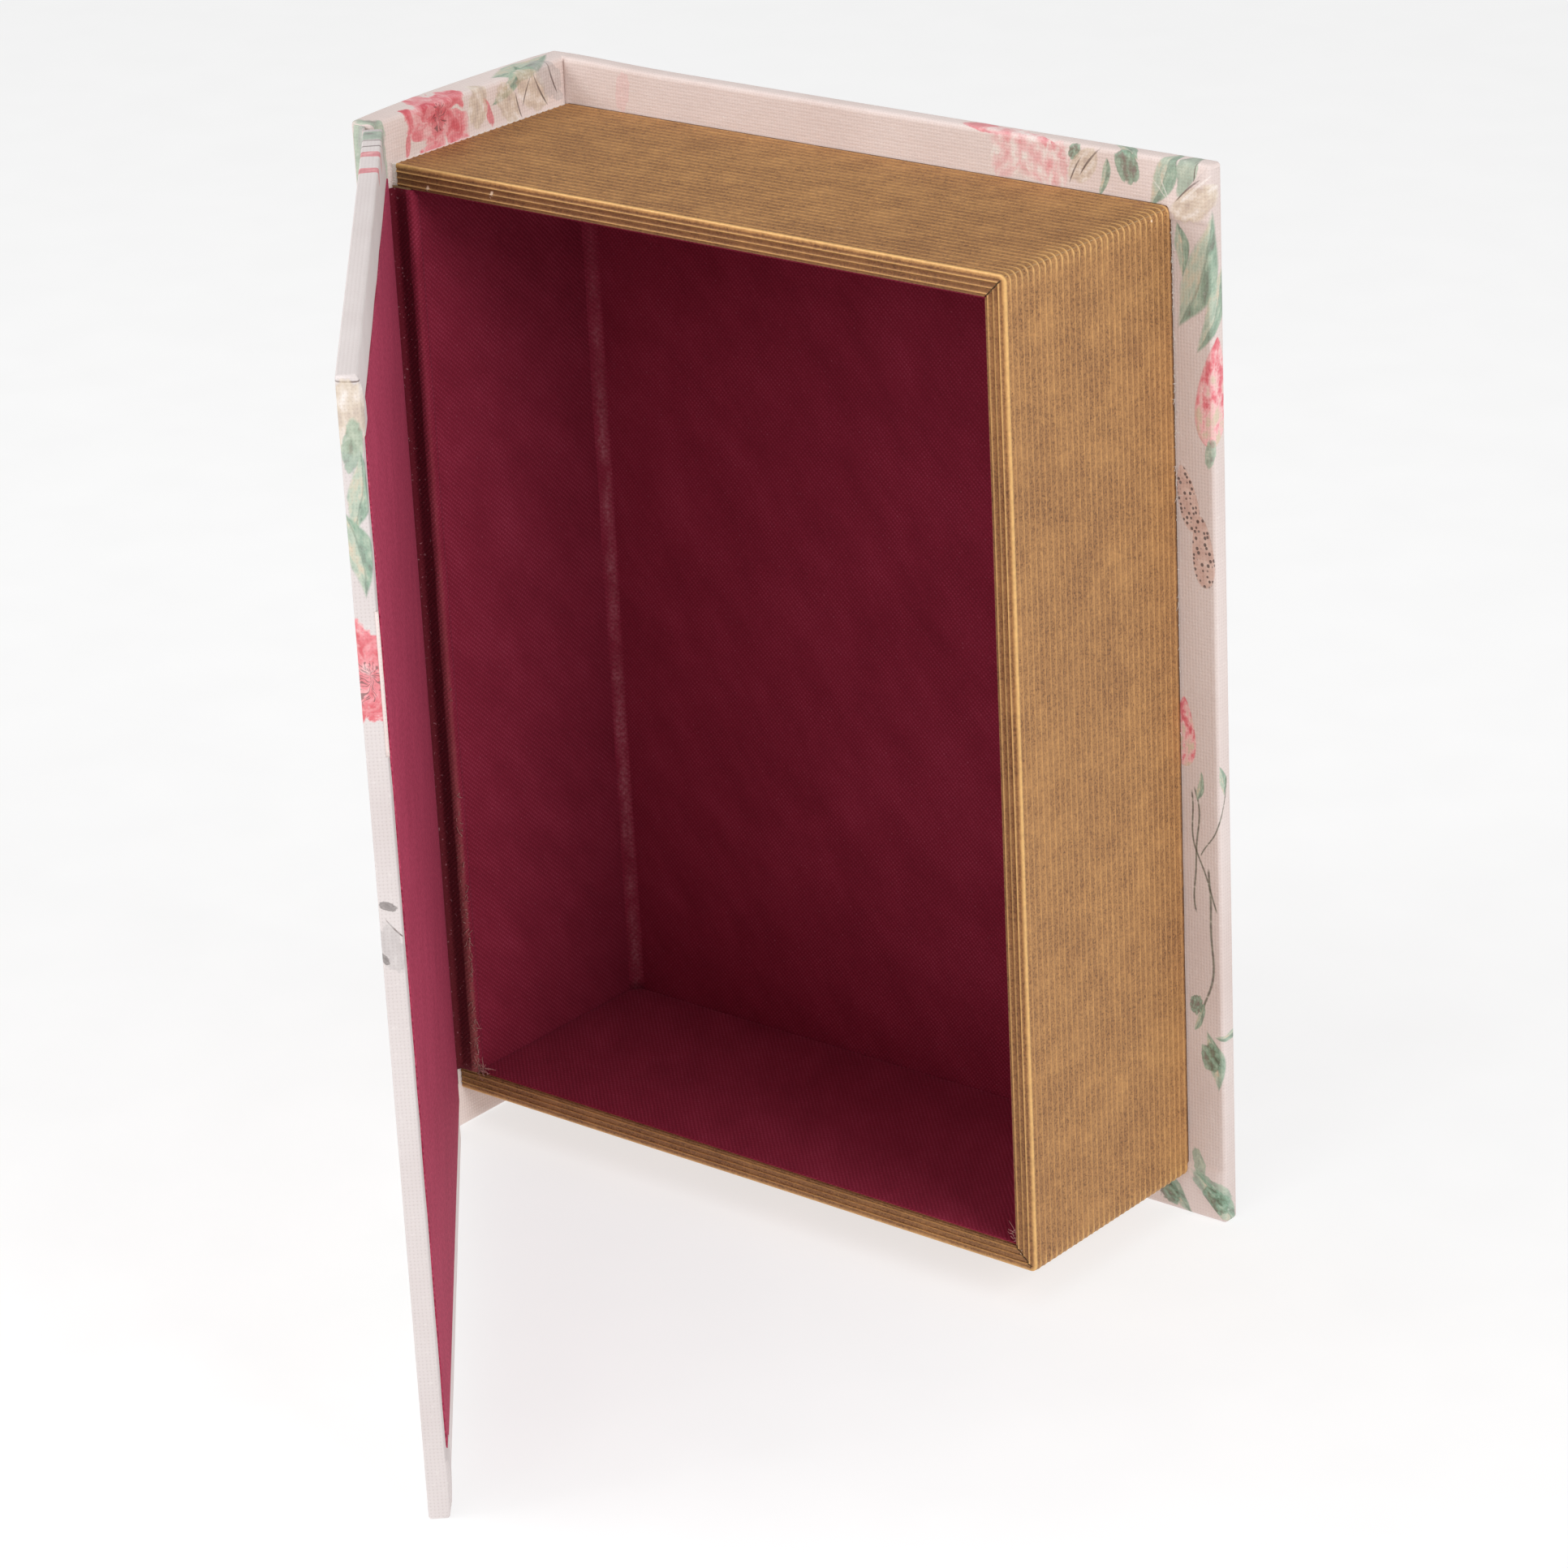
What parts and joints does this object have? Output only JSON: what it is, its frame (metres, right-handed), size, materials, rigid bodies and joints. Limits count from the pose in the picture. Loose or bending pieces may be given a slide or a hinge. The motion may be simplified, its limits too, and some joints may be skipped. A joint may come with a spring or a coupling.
{
  "type": "book-shaped jewelry box",
  "caption": "Book-shaped keepsake box: canvas-covered case with a hinged front cover and a lined tray whose ribbed gold sides look like pages.",
  "frame": {"origin": "middle of the tail edge of the back cover, halfway through its thickness", "axes": "+Z from tail to head, -Y out through the open front of the tray, -X towards the spine"},
  "size_m": [0.1604, 0.1737, 0.21],
  "materials": {
    "printed_canvas": "plain-weave canvas with a floral print",
    "ribbed_gold_paper": "fine ribs with a dull gold lustre",
    "burgundy_cloth": "matte twill",
    "board": "raw fibreboard"
  },
  "bodies": {
    "case": {"back_board": "board", "spine_board": "board", "back_canvas": "printed_canvas", "back_joint_canvas": "printed_canvas", "spine_canvas": "printed_canvas", "front_joint_canvas": "printed_canvas", "head_wall": "board", "tail_wall": "board", "fore_edge_wall": "board", "spine_wall": "board", "page_wrap": "ribbed_gold_paper", "floor_lining": "burgundy_cloth", "head_lining": "burgundy_cloth", "tail_lining": "burgundy_cloth", "fore_edge_lining": "burgundy_cloth", "spine_wall_lining": "burgundy_cloth", "hinge_lining": "burgundy_cloth"},
    "lid": {"lid_board": "board", "lid_canvas": "printed_canvas", "lid_lining": "burgundy_cloth"}
  },
  "joints": [
    {"name": "lid_hinge", "type": "hinge", "parent": "case", "child": "lid", "pos_m": [-0.0757, -0.0568, 0], "axis": [0, 0, -1], "range_deg": [-48.5, 131.5]}
  ]
}
